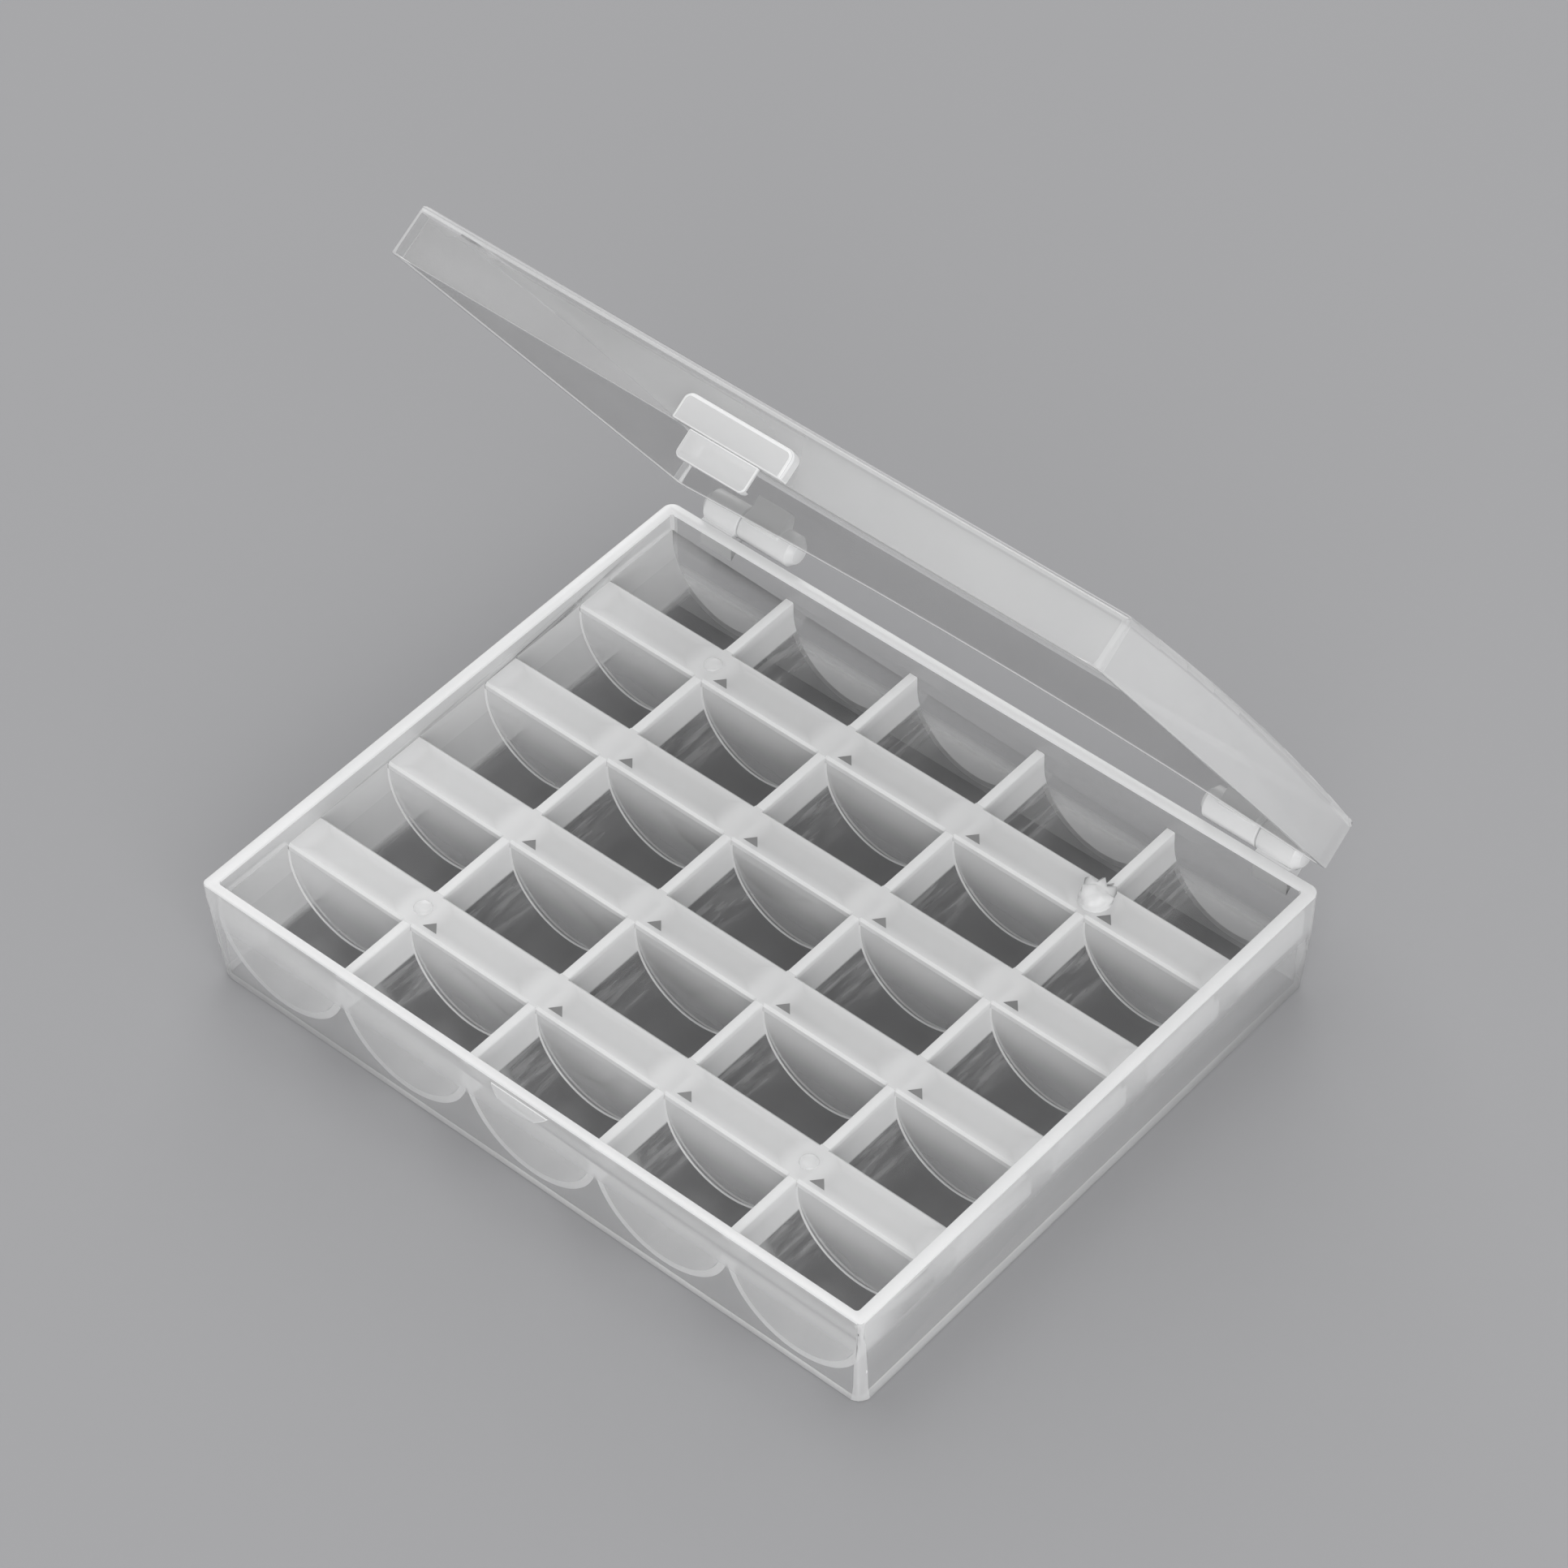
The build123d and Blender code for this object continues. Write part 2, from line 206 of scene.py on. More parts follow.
def between(tree, share, first, second):
    """A colour on the way from the first to the second."""
    mix = tree.nodes.new("ShaderNodeMix")
    mix.data_type = "RGBA"
    mix.inputs["A"].default_value = first
    mix.inputs["B"].default_value = second
    tree.links.new(share, mix.inputs["Factor"])
    return mix.outputs["Result"]


def layered(tree, share, first, second):
    """Two shaders mixed, with a share of the second."""
    mix = tree.nodes.new("ShaderNodeMixShader")
    feed(tree, share, mix.inputs["Fac"])
    tree.links.new(first, mix.inputs[1])
    tree.links.new(second, mix.inputs[2])
    return mix.outputs["Shader"]


print("node helpers: number, ramp, noise, between, layered")

# %% [markdown]
# ## Hazy plastic
# Polypropylene is hazy: most of the light goes straight through a thin sheet, and the rest is
# scattered white. So one sheet over a dark place looks dark, two look grey, and an edge, where
# the eye looks along the plastic, looks white. The layers here follow that. A skin scatters its
# share, with a little glow from light behind it. The share that goes straight through shrinks with
# the slant of the sight line, as the way through the sheet gets longer. A thin gloss lies on top,
# and soft clouds and a fine grain keep the plastic from looking like glass.

# %% Layers of the plastic
PLASTIC_IOR, PLASTIC_SPECULAR = 1.49, 0.2
BUMP_HEIGHT, BUMP_STRENGTH = 0.000001, 0.5
SLANT_LIMIT = 0.08
HEAD_ON, SHEEN_POWER = 0.035, 5


def grained(tree, grain):
    """The direction of a surface with a very low grain on it."""
    bump = tree.nodes.new("ShaderNodeBump")
    bump.inputs["Strength"].default_value = BUMP_STRENGTH
    bump.inputs["Distance"].default_value = BUMP_HEIGHT
    tree.links.new(grain, bump.inputs["Height"])
    return bump.outputs["Normal"]


def scattering(tree, colour, roughness, normal, spread):
    """The white skin, and behind it a share of glow from the light on its far side."""
    skin = tree.nodes["Principled BSDF"]
    skin.inputs["IOR"].default_value = PLASTIC_IOR
    skin.inputs["Specular IOR Level"].default_value = PLASTIC_SPECULAR
    tree.links.new(colour, skin.inputs["Base Color"])
    tree.links.new(roughness, skin.inputs["Roughness"])
    tree.links.new(normal, skin.inputs["Normal"])
    glow = tree.nodes.new("ShaderNodeBsdfTranslucent")
    tree.links.new(colour, glow.inputs["Color"])
    return layered(tree, spread, skin.outputs["BSDF"], glow.outputs["BSDF"])


def see_through(tree, thickness, painted_shade):
    """The light that goes straight on, dimmed by a grey of painted shade except where a rule says that it is
    thick.
    """
    shaded_colour = (painted_shade, painted_shade, painted_shade, 1)
    clear = tree.nodes.new("ShaderNodeBsdfTransparent")
    clear.inputs["Color"].default_value = shaded_colour
    if thickness:
        tree.links.new(between(tree, thickness, shaded_colour, WHITE), clear.inputs["Color"])
    return clear.outputs["BSDF"]


def share_on_a_slant(tree, share, slant):
    """What is left of a share that goes straight through when the sheet is seen on a slant."""
    straight = number(tree, "SUBTRACT", 1.0, slant)
    way = number(tree, "DIVIDE", 1.0, number(tree, "MAXIMUM", straight, SLANT_LIMIT))
    return number(tree, "POWER", share, way)


def glossed(tree, body, slant, roughness, normal):
    """A thin mirror over the body, weak when seen head-on and strong along the surface."""
    shine = tree.nodes.new("ShaderNodeBsdfGlossy")
    tree.links.new(roughness, shine.inputs["Roughness"])
    tree.links.new(normal, shine.inputs["Normal"])
    grazing = number(tree, "POWER", slant, SHEEN_POWER)
    mirror = number(tree, "MULTIPLY_ADD", grazing, 1 - HEAD_ON, HEAD_ON)
    return layered(tree, mirror, body, shine.outputs["BSDF"])


print("gloss seen head-on:", HEAD_ON)

# %% [markdown]
# ## One recipe for every plastic
# All pieces are the same plastic in other thicknesses, so one recipe makes every material. It takes
# the brightness of the scattered light, the share that a thin skin lets straight through, and,
# where the thickness varies within a piece, a rule that says where it is thick and the share there.
# Painted shade dims what is seen through thin sheets: a grey on the light that goes straight through,
# which the clear plastic doesn't have, so that the compartments stay darker than the webs between them.
# Spread is the part of the scattered light that comes from the far side, gloss is how rough the mirror on
# top is, and patchy is how much the clouds change the share.

# %% Hazy plastic
CLOUD_SIZE, CLOUD_DETAIL = 90, 3
GRAIN_SIZE, GRAIN_DETAIL = 2200, 2
DARK_CLOUD, LIGHT_CLOUD = (0.95, 0.955, 0.96), (1.02, 1.02, 1.02)
ROUGHER = 0.06


def tinted(grey, tint):
    """A grey times a slight tint, as the four numbers of a colour."""
    return (*(grey * part for part in tint), 1)


def hazy(name, grey, thin, thick=None, solid=0.2, painted_shade=1.0, spread=0.25, gloss=0.2, patchy=0.0):
    """A plastic that scatters a share of the light white and lets the rest straight through."""
    material = bpy.data.materials.new(name)
    material.use_nodes = True
    tree = material.node_tree
    where = tree.nodes.new("ShaderNodeTexCoord").outputs["Object"]
    facing = tree.nodes.new("ShaderNodeLayerWeight")
    facing.inputs["Blend"].default_value = 0.5
    slant = facing.outputs["Facing"]

    clouds = noise(tree, where, CLOUD_SIZE, CLOUD_DETAIL)
    grain = noise(tree, where, GRAIN_SIZE, GRAIN_DETAIL)
    colour = between(tree, clouds, tinted(grey, DARK_CLOUD), tinted(grey, LIGHT_CLOUD))
    roughness = number(tree, "MULTIPLY_ADD", grain, ROUGHER, gloss)
    normal = grained(tree, grain)

    thickness = thick(tree, where) if thick else None
    share = number(tree, "MULTIPLY_ADD", clouds, 2 * patchy, thin - patchy)
    if thickness:
        share = ramp(tree, thickness, 0, 1, share, solid)
    haze = scattering(tree, colour, roughness, normal, spread)
    passed = share_on_a_slant(tree, share, slant)
    body = layered(tree, passed, haze, see_through(tree, thickness, painted_shade))
    coated = glossed(tree, body, slant, roughness, normal)
    tree.links.new(coated, tree.nodes["Material Output"].inputs["Surface"])
    print(name, "lets", thin, "of the light straight through a thin skin")
    return material


# %% [markdown]
# ## Thick and thin
# The haze adds up along the plastic, so a web, a rib or the end of a wall looks whiter than a
# single sheet. A rule tells from a point's place how thick the plastic is there, from 0 to 1. Most
# rules need one axis alone, so a function makes them: walls of the tray thicken towards the rim, walls
# between the rows towards the bar on top and the back wall towards its foot. The same kind of rule
# makes the lid whiter towards the right.

# %% Rules along one axis
def along(tree, where, axis):
    """The place of a point along one axis."""
    apart = tree.nodes.new("ShaderNodeSeparateXYZ")
    tree.links.new(where, apart.inputs["Vector"])
    return apart.outputs[axis]


def thicker(axis, start, end, low=0, high=1):
    """A rule for plastic that goes from low to high thickness between two places on an axis."""

    def rule(tree, where):
        return ramp(tree, along(tree, where, axis), start, end, low, high)

    return rule


WALL_START, WALL_FULL = 0.0085, 0.0160
LID_START, LID_FULL = -0.035, 0.050
towards_rim = thicker("Z", WALL_START, WALL_FULL)
towards_top = thicker("Z", start=0.004, end=0.0150)
towards_foot = thicker("Z", start=0.005, end=0.009, low=1, high=0)
towards_right = thicker("X", LID_START, LID_FULL)
print("walls turn cloudy from", WALL_START, "to", WALL_FULL, "m up")
print("the lid turns cloudy from", LID_START, "to", LID_FULL, "m along it")

# %% [markdown]
# ## Bars
# The bars are hollow. They are whiter over the ribs that cross below them and over the walls below
# their two long edges. Both repeat with the grid, so the rule measures how far a point stands from
# the nearest of many even lines, with a ping-pong step.

# %% Bars
HALF_PITCH = 0.01175
HALF_ROW_PITCH = 0.010185
FIRST_BAR_Y = -0.03078
RIB_START, RIB_FULL = 0.0065, 0.0112
LEDGE_START, LEDGE_FULL, LEDGE_THICKNESS = 0.0010, 0.0034, 0.7


def beside(tree, where, axis, middle, half_pitch):
    """How far a point stands from the nearest of many even lines."""
    moved = number(tree, "SUBTRACT", along(tree, where, axis), middle)
    return number(tree, "PINGPONG", moved, half_pitch)


def over_ribs(tree, where):
    """A bar that is whiter over its ribs and over the end walls below its edges."""
    ribs = ramp(tree, beside(tree, where, "X", 0, HALF_PITCH), RIB_START, RIB_FULL, 0, 1)
    offset = beside(tree, where, "Y", FIRST_BAR_Y, HALF_ROW_PITCH)
    ledges = ramp(tree, offset, LEDGE_START, LEDGE_FULL, 0, LEDGE_THICKNESS)
    return number(tree, "MAXIMUM", ribs, ledges)


print("columns every", 2 * HALF_PITCH, "m and bars every", 2 * HALF_ROW_PITCH, "m")

# %% [markdown]
# ## Cradles
# A cradle is a thin sheet below. Above, it meets its neighbour in a solid web, which is weaker at
# the left wall. The sheet is also thicker where it comes down the left wall and at the front ends of
# the first row. Down its slopes run faint streaks of painted highlight, whiter lines made by noise
# that a Mapping node stretches along the cradle.

# %% Cradles
WEB_START, WEB_FULL = 0.0098, 0.0105
FIRST_WEB, FIRST_WEB_FADE, FIRST_WEB_THICKNESS = -0.0575, 0.003, 0.5
LEFT_SHEET, LEFT_SHEET_FADE, LEFT_SHEET_THICKNESS = -0.0551, 0.0006, 0.45
FRONT_SHEET, FRONT_SHEET_FADE, FRONT_SHEET_THICKNESS = -0.0420, 0.003, 0.35
SLOPE_START, SLOPE_FULL = 0.0058, 0.0082
SLOPE_THICKNESS, BOTTOM_THICKNESS = 0.16, 0.02
STREAK_SIZE, STREAK_DETAIL, STREAK_STRETCH = 900, 2, 0.12
STREAK_LOW, STREAK_HIGH, STREAK_FAINT, STREAK_STRONG = 0.38, 0.68, 0.3, 1.8


def streaks(tree, where):
    """Noise stretched along the cradles, as a factor around 1: streaks of painted highlight."""
    longer = tree.nodes.new("ShaderNodeMapping")
    longer.inputs["Scale"].default_value = (1, STREAK_STRETCH, 1)
    tree.links.new(where, longer.inputs["Vector"])
    streak = noise(tree, longer.outputs["Vector"], STREAK_SIZE, STREAK_DETAIL)
    return ramp(tree, streak, STREAK_LOW, STREAK_HIGH, STREAK_FAINT, STREAK_STRONG)


def up_to_webs(tree, where):
    """Cradles that are thin sheets below, with streaks of painted highlight, and meet in solid webs above.
    """
    x, y, z = (along(tree, where, axis) for axis in "XYZ")
    beyond_first = ramp(tree, x, FIRST_WEB, FIRST_WEB + FIRST_WEB_FADE, FIRST_WEB_THICKNESS, 1)
    webs = ramp(tree, z, WEB_START, WEB_FULL, 0, beyond_first)
    by_wall = ramp(tree, x, LEFT_SHEET, LEFT_SHEET + LEFT_SHEET_FADE, LEFT_SHEET_THICKNESS, 0)
    by_front = ramp(tree, y, FRONT_SHEET, FRONT_SHEET + FRONT_SHEET_FADE, FRONT_SHEET_THICKNESS, 0)
    from_web = beside(tree, where, "X", HALF_PITCH, HALF_PITCH)
    steep, shallow = HALF_PITCH - SLOPE_FULL, HALF_PITCH - SLOPE_START
    slope = ramp(tree, from_web, steep, shallow, SLOPE_THICKNESS, BOTTOM_THICKNESS)
    # The streaks make painted highlight on the slopes.
    thickness = number(tree, "MULTIPLY", slope, streaks(tree, where))
    for part in (webs, by_wall, by_front):
        thickness = number(tree, "MAXIMUM", thickness, part)
    return thickness


print("webs turn solid at a height of", WEB_FULL, "m")

# %% [markdown]
# ## The finishes
# Each slot of the frame gets its plastic. A few more are for single faces: edges, which are nearly
# white, corners, end walls, the back wall, the lid's sheet and sides, and the small dark pockets of painted
# shade.

# %% The finishes
# Where a finish dims what shows through it, that grey is painted shade: on the cradles, the back wall and
# the lid, and darkest in the pockets.
FINISHES = {
    "tray_plastic": hazy("hazy_wall", grey=0.98, thin=0.90, thick=towards_rim, solid=0.76, patchy=0.02),
    "cradle_plastic": hazy(
        "hazy_cradle", grey=0.94, thin=0.92, thick=up_to_webs, solid=0.08, painted_shade=0.72, patchy=0.03
    ),
    "bar_plastic": hazy("hazy_bar", grey=0.96, thin=0.60, thick=over_ribs, solid=0.32, patchy=0.06),
    "hinge_plastic": hazy("hazy_hinge", grey=1.0, thin=0.20),
    "pin_plastic": hazy("hazy_pin", grey=1.0, thin=0.20),
    "lid_plastic": hazy(
        "hazy_lid", grey=0.95, thin=0.84, thick=towards_right, solid=0.70, painted_shade=0.90, patchy=0.05,
        gloss=0.12,
    ),
    "latch_plastic": hazy("hazy_latch", grey=0.92, thin=0.50, patchy=0.05),
}
EDGE = hazy("hazy_edge", grey=0.98, thin=0.10)
CORNER = hazy("hazy_corner", grey=0.97, thin=0.62)
END_WALL = hazy("hazy_end_wall", grey=0.96, thin=0.83, thick=towards_top, solid=0.55, patchy=0.04)
BACK_WALL = hazy(
    "hazy_back_wall", grey=0.95, thin=0.91, thick=towards_foot, solid=0.40, painted_shade=0.90, patchy=0.02
)
# The lid's sheet and sides carry a stronger painted shade, which darkens the inside of the open lid.
LID_TOP = hazy("hazy_lid_top", grey=0.94, thin=0.965, painted_shade=0.86, patchy=0.01, gloss=0.35)
LID_SIDE = hazy("hazy_lid_side", grey=0.94, thin=0.92, painted_shade=0.80, patchy=0.03)
# The pockets are painted shade: a dark grey that lets little through.
POCKET_SHADE = hazy("hazy_pocket_shade", grey=0.80, thin=0.75, painted_shade=0.25, patchy=0.1)
print("finishes:", ", ".join(FINISHES))

# %% [markdown]
# ## Sewn copies
# The frame's meshes are loose triangles, so a piece is copied, its triangles are sewn into one
# skin, and the flat ones are melted into whole faces. Each copy carries two plastics from the start:
# its own, and the white one of its edges.

# %% Sewn copies
SEW = 0.000002
FLAT = radians(0.4)
BODY_OF = {
    node: body
    for body, members in frame["record"]["behaviour"]["bodies"].items()
    for node in members
}
SLOT_OF = {part["node"]: part["material_slot"] for part in frame["record"]["subparts"]}


def sewn_copy(node, name):
    """A copy of a piece of the frame with its triangles sewn together, ready to be shaped."""
    piece = NODES[node].copy()
    piece.data = NODES[node].data.copy()
    bpy.context.scene.collection.objects.link(piece)
    piece.parent = None
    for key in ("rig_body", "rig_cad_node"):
        if key in piece:
            del piece[key]
    piece.name = name
    bpy.ops.object.select_all(action="DESELECT")
    piece.select_set(True)
    bpy.context.view_layer.objects.active = piece
    bpy.ops.object.mode_set(mode="EDIT")
    bpy.ops.mesh.select_all(action="SELECT")
    bpy.ops.mesh.remove_doubles(threshold=SEW)
    bpy.ops.mesh.dissolve_limited(angle_limit=FLAT)
    bpy.ops.object.mode_set(mode="OBJECT")
    piece.data.materials.clear()
    piece.data.materials.append(FINISHES[SLOT_OF[node]])
    piece.data.materials.append(EDGE)
    return piece


print("bodies:", ", ".join(sorted(set(BODY_OF.values()))))

# %% [markdown]
# ## Soft edges
# A moulded edge is never sharp, and its small round catches a line of light. Only an edge that
# stands free is rounded: one that lies against a neighbour would turn into a groove. So each sharp
# edge is measured against the other pieces of its body, and the free ones are picked for the bevel.
# The bevel gives its new faces the white plastic of the edges.

# %% Free edges
from mathutils.bvhtree import BVHTree

SHARP = radians(35)
TOUCH = 0.00003
SKINS = {
    node: BVHTree.FromPolygons(
        [vertex.co for vertex in piece.data.vertices], [face.vertices for face in piece.data.polygons]
    )
    for node, piece in NODES.items()
}


def free_edges(piece, node, among=None):
    """The sharp edges of a piece that don't lie against another piece of the same body."""
    near = [SKINS[other] for other in NODES if other != node and BODY_OF[other] == BODY_OF[node]]
    normals = {}
    for face in piece.data.polygons:
        for key in face.edge_keys:
            normals.setdefault(key, []).append(face.normal)
    chosen = []
    for edge in piece.data.edges:
        sides = normals.get(edge.key, [])
        if len(sides) != 2 or sides[0].angle(sides[1], 0) < SHARP:
            continue
        ends = [piece.data.vertices[index].co for index in edge.vertices]
        middle = (ends[0] + ends[1]) / 2
        if among and not among(middle):
            continue
        if not any(skin.find_nearest(middle, TOUCH)[0] is not None for skin in near):
            chosen.append(edge.index)
    return chosen


print("skins to measure against:", len(SKINS))

# %% Rounds
ROUNDS = {
    "tray_shell": 0.00025,
    "compartment_row": 0.0002,
    "divider_bar": 0.0,
    "lid_shell": 0.0002,
    "latch_plate": 0.0002,
    "latch_tongue": 0.0002,
    "latch_catch": 0.0001,
}
SMALL_ROUND = 0.00012
ROUND_SEGMENTS = 2


def kind_of(node, table, otherwise):
    """The entry of a table whose key a node's name starts with."""
    return next((entry for start, entry in table.items() if node.startswith(start)), otherwise)


def rounded(piece, node, width, among=None):
    """Rounds the free sharp edges of a piece and smooths what is left."""
    chosen = free_edges(piece, node, among)
    bpy.ops.object.mode_set(mode="EDIT")
    bpy.ops.mesh.select_mode(type="EDGE")
    bpy.ops.mesh.select_all(action="DESELECT")
    bpy.ops.object.mode_set(mode="OBJECT")
    for index in chosen:
        piece.data.edges[index].select = True
    bpy.ops.object.mode_set(mode="EDIT")
    bpy.ops.mesh.bevel(
        offset=width, segments=ROUND_SEGMENTS, affect="EDGES", clamp_overlap=False, material=1
    )
    bpy.ops.object.mode_set(mode="OBJECT")
    bpy.ops.object.shade_smooth_by_angle(angle=SHARP)
    print(piece.name, "has", len(chosen), "edges rounded")


# %% [markdown]
# ## Faces with another plastic
# Some faces need more than the piece's own plastic. The rim, the foot and the tops of the webs are
# seen edge-on and look white, the upright corners are cloudier than the walls, and the end walls and
# the back wall have plastics of their own. The tests pick such faces by place and by direction: a face
# is square to an axis when its normal lies almost along it.

# %% Tests on the tray
SQUARE = 0.95
RIM_Z, FOOT_Z = 0.019, 0.0005
CORNER_TURN, CORNER_TILT = 0.15, 0.4
WEB_TOP_Z = 0.0156
ROW_FRONT_Y, ROW_BACK_Y = -0.0476, 0.0472
BACK_WALL_SQUARE, BACK_WALL_Y, BACK_WALL_TOP_Z = 0.9, 0.045, 0.0188
BAR_EDGE_TILT = 0.3


def is_rim(place, normal):
    """The flat top of the tray's wall and the narrow foot that it stands on."""
    return abs(normal.z) > SQUARE and (place.z > RIM_Z or place.z < FOOT_Z)


def is_corner(place, normal):
    """The rounded upright corners of the tray."""
    return min(abs(normal.x), abs(normal.y)) > CORNER_TURN and abs(normal.z) < CORNER_TILT


def is_web_top(place, normal):
    """The flat tops of the webs."""
    return normal.z > SQUARE and place.z > WEB_TOP_Z


def is_end_wall(place, normal):
    """The upright walls at the ends of the compartments."""
    return abs(normal.y) > SQUARE


def is_row_end(place, normal):
    """The cut ends of the cradles, which show through the front and back walls as bright arcs."""
    return abs(normal.y) > SQUARE and (place.y < ROW_FRONT_Y or place.y > ROW_BACK_Y)


def is_back_wall(place, normal):
    """Both faces of the wall behind the last row."""
    return abs(normal.y) > BACK_WALL_SQUARE and place.y > BACK_WALL_Y and place.z < BACK_WALL_TOP_Z


def is_bar_edge(place, normal):
    """The slanted edges along a bar."""
    return BAR_EDGE_TILT < normal.z < SQUARE


rim_faces = [face for face in NODES["tray_shell"].data.polygons if is_rim(face.center, face.normal)]
print("triangles on the rim and the foot:", len(rim_faces))

# %% [markdown]
# ## Faces of the lid
# The lid stands open in the frame, so its faces are told by the place and the direction that they
# have when it is closed. The frame's record gives the hinge and how far the lid turns back.

# %% Tests on the lid
HINGE_JOINT = next(
    joint for joint in frame["record"]["behaviour"]["joints"] if joint["name"] == "lid_hinge"
)
HINGE = Vector(HINGE_JOINT["pos_m"])
CLOSING = Matrix.Rotation(radians(-HINGE_JOINT["range_deg"][0]), 3, "X")
LID_RIM_TOP = 0.0207
HINGE_REACH = 0.066
RIM_DOWN, SHEET_ALONG, LID_TURN = 0.9, 0.8, 0.2


def near_lid_rim(place):
    """Whether a point is on the rim of the lid."""
    return (HINGE + CLOSING @ (place - HINGE)).z < LID_RIM_TOP


def is_lid_rim(place, normal):
    """The narrow rim of the lid, which faces down."""
    return (CLOSING @ normal).z < -RIM_DOWN and near_lid_rim(place)


def is_lid_round(place, normal):
    """The rounded edges and corners of the lid, which face between two axes or more."""
    return sorted(abs(part) for part in CLOSING @ normal)[1] > LID_TURN


def is_lid_top(place, normal):
    """The arched sheet of the lid, outside and inside."""
    return abs((CLOSING @ normal).z) > SHEET_ALONG


def is_lid_side(place, normal):
    """The walls of the lid behind its hollow: the left one and the one over the hinge."""
    shut = CLOSING @ normal
    left = abs(shut.x) > SHEET_ALONG and place.x < 0
    over_hinge = abs(shut.y) > SHEET_ALONG and (HINGE - place).length < HINGE_REACH
    return left or over_hinge


print("the lid is open by", -HINGE_JOINT["range_deg"][0], "degrees")

# %% [markdown]
# ## Dressing
# Now each piece goes through the same steps: sew, round, give single faces another plastic, cut into
# triangles, draw in, and hand over. Pieces that touch share a plane, and two skins in one plane confuse
# the ray tracer, so every copy is drawn in by a hair. Of the lid, only the rim's edges are rounded. In
# the table of coats, a later row paints over an earlier one.

# %% Helpers for the dressing
HAIR = 0.000005
ROUNDED_WHERE = {"lid_shell": near_lid_rim}
COATS = {
    "tray_shell": [(is_back_wall, BACK_WALL), (is_corner, CORNER), (is_rim, EDGE)],
    "compartment_row": [(is_end_wall, END_WALL), (is_web_top, EDGE), (is_row_end, EDGE)],
    "divider_bar": [(is_bar_edge, EDGE)],
    "lid_shell": [
        (is_lid_top, LID_TOP),
        (is_lid_side, LID_SIDE),
        (is_lid_round, CORNER),
        (is_lid_rim, EDGE),
    ],
}


def recoat(piece, chosen, plastic):
    """Gives another plastic to the faces that a test picks by place and direction."""
    if plastic.name not in piece.data.materials:
        piece.data.materials.append(plastic)
    index = piece.data.materials.find(plastic.name)
    for face in piece.data.polygons:
        if chosen(face.center, face.normal):
            face.material_index = index


def in_triangles(piece):
    """Cuts every face into triangles, so that all tools read the same skin."""
    bpy.ops.object.mode_set(mode="EDIT")
    bpy.ops.mesh.select_all(action="SELECT")
    bpy.ops.mesh.quads_convert_to_tris(quad_method="BEAUTY", ngon_method="CLIP")
    bpy.ops.object.mode_set(mode="OBJECT")


def drawn_in(piece):
    """Moves the skin of a piece inwards by a hair."""
    draw = piece.modifiers.new("hair", "DISPLACE")
    draw.strength = -HAIR
    draw.mid_level = 0
    bpy.ops.object.modifier_apply(modifier=draw.name)


print("pieces with coats on single faces:", ", ".join(COATS))

# %% Dressing
for node in NODES:
    piece = sewn_copy(node, node + "_moulding")
    width = kind_of(node, ROUNDS, SMALL_ROUND)
    if width:
        rounded(piece, node, width, among=ROUNDED_WHERE.get(node))
    for chosen, plastic in kind_of(node, COATS, []):
        recoat(piece, chosen, plastic)
    in_triangles(piece)
    drawn_in(piece)
    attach(piece, BODY_OF[node])
    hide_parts(node)
    print(piece.name, "has", len(piece.data.polygons), "faces")

# %% [markdown]
# ## Gate marks
# The plastic entered the mould at four crossings of the grid. Three of the marks are low round
# buttons, and the fourth was torn off and left a rough knob. A button is a ball pressed flat, and the
# knob is a ball whose points are pulled out here and there by a seeded draw.

# %% Marks on the grid
GRID_TOP = 0.0157
WEB_XS = [step * HALF_PITCH for step in (-3, -1, 1, 3)]
BAR_YS = [FIRST_BAR_Y + 2 * HALF_ROW_PITCH * bar for bar in range(4)]
LEFT, RIGHT, FRONT, BACK = WEB_XS[0], WEB_XS[-1], BAR_YS[0], BAR_YS[-1]
BALL_DETAIL = 3


def pressed_ball(name, x, y, radius, height):
    """A ball flattened to a height, with its middle on the top of the grid."""
    bpy.ops.object.select_all(action="DESELECT")
    bpy.ops.mesh.primitive_ico_sphere_add(subdivisions=BALL_DETAIL, radius=radius, location=(x, y, GRID_TOP))
    ball = bpy.context.object
    ball.name = name
    ball.scale.z = height / radius
    bpy.ops.object.transform_apply(location=True, rotation=True, scale=True)
    bpy.ops.object.shade_smooth()
    return ball


def gate_mark(ball, plastic):
    """Gives a finished mark its plastic and lets it ride on the tray."""
    ball.data.materials.append(plastic)
    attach(ball, "tray")
    print(ball.name, "has", len(ball.data.polygons), "faces")


# %% Gate buttons
BUTTON_RADIUS, BUTTON_HEIGHT = 0.0014, 0.0005
BUTTONS = {
    "gate_button_back_left": (LEFT, BACK),
    "gate_button_front_left": (LEFT, FRONT),
    "gate_button_front_right": (RIGHT, FRONT),
}

for name, (x, y) in BUTTONS.items():
    gate_mark(pressed_ball(name, x, y, BUTTON_RADIUS, BUTTON_HEIGHT), CORNER)

# %% Gate knob
import random

KNOB_RADIUS, KNOB_HEIGHT = 0.0025, 0.0024
TORN_FROM = GRID_TOP + KNOB_HEIGHT / 4
TORN_SHARE = 0.35
SPIKE_REACH = 0.0013
TORN_SEED = 7

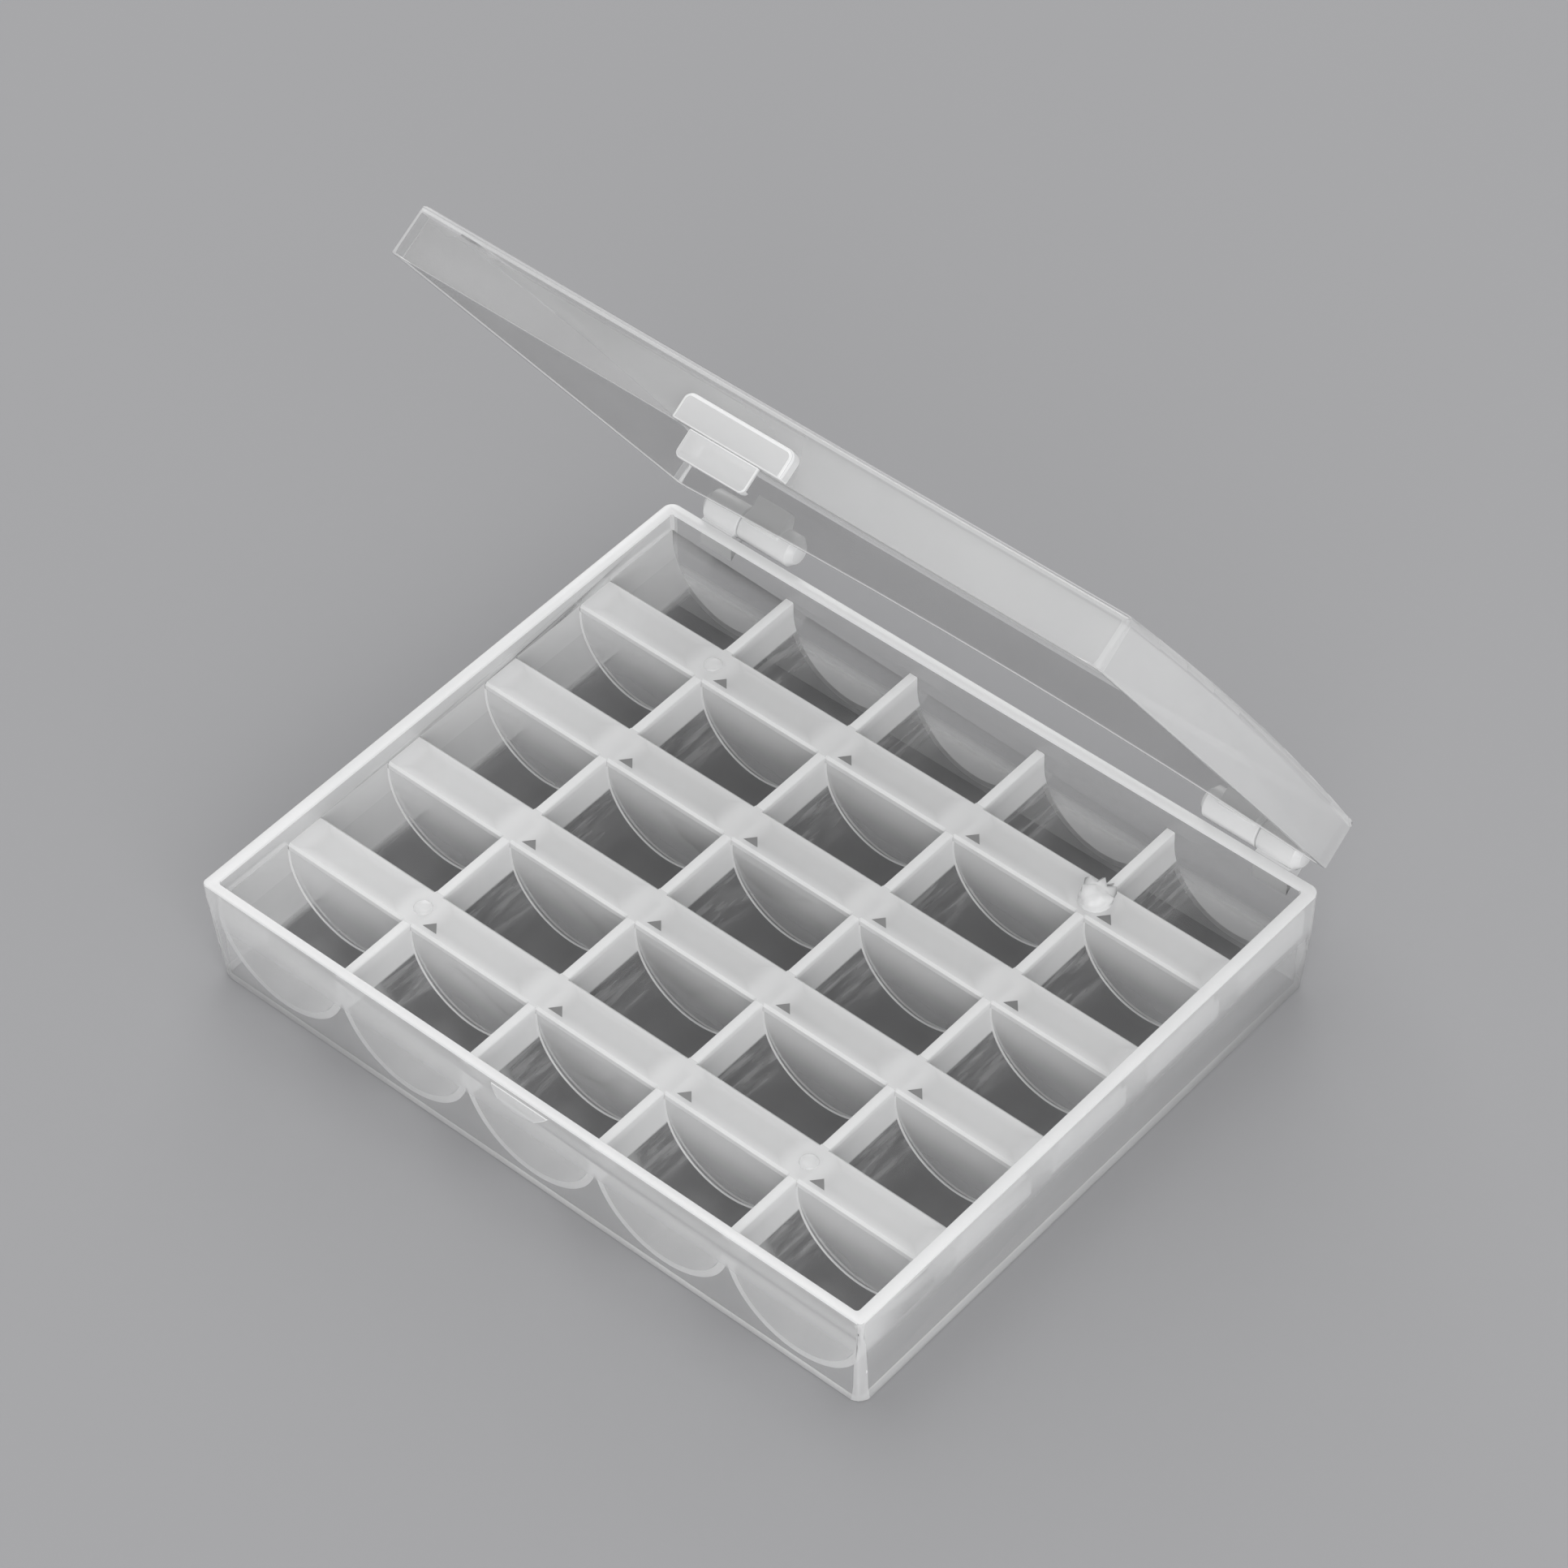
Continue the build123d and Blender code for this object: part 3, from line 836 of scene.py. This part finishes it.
knob = pressed_ball("gate_knob_back_right", RIGHT, BACK, KNOB_RADIUS, KNOB_HEIGHT)
torn = random.Random(TORN_SEED)
for vertex in knob.data.vertices:
    if vertex.co.z > TORN_FROM and torn.random() < TORN_SHARE:
        outwards = (vertex.co - Vector((RIGHT, BACK, GRID_TOP))).normalized()
        vertex.co += outwards * SPIKE_REACH * torn.random()
gate_mark(knob, EDGE)

# %% [markdown]
# ## Painted shade beside the webs
# To the right of each crossing the photograph shows a small dark triangle, just behind the front edge
# of the bar, where the eye looks through the bar's skin into the shade of the hollow below. It is painted
# shade: a flat wedge of dark plastic, made once from a cylinder with three sides, and every crossing gets
# a copy with a mesh of its own.

# %% Painted shade beside the webs
POCKET_RADIUS, POCKET_DEPTH, POCKET_STRETCH = 0.0010, 0.00005, 1.5
POCKET_RIGHT, POCKET_FORWARD = 0.0034, 0.0019
CROSSINGS = [(x, y) for y in BAR_YS for x in WEB_XS]

bpy.ops.object.select_all(action="DESELECT")
bpy.ops.mesh.primitive_cylinder_add(vertices=3, radius=POCKET_RADIUS, depth=POCKET_DEPTH)
first_pocket = bpy.context.object
first_pocket.scale.x = POCKET_STRETCH
bpy.ops.object.transform_apply(location=True, rotation=True, scale=True)
first_pocket.data.materials.append(POCKET_SHADE)
for count, (x, y) in enumerate(CROSSINGS, start=1):
    pocket = first_pocket.copy()
    pocket.data = first_pocket.data.copy()
    bpy.context.scene.collection.objects.link(pocket)
    pocket.name = f"pocket_{count}"
    place = Vector((x + POCKET_RIGHT, y - POCKET_FORWARD, GRID_TOP))
    pocket.data.transform(Matrix.Translation(place))
    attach(pocket, "tray")
bpy.data.objects.remove(first_pocket)
print("pockets:", len(CROSSINGS))

# %% [markdown]
# ## Finish
# A line of sight can cross many sheets before it reaches the floor, so a ray may pass through forty
# skins. The colours are shown as they are written.

# %% Finish
MOST_SKINS = 40

bpy.context.scene.view_settings.view_transform = "Standard"
bpy.context.scene.cycles.transparent_max_bounces = MOST_SKINS
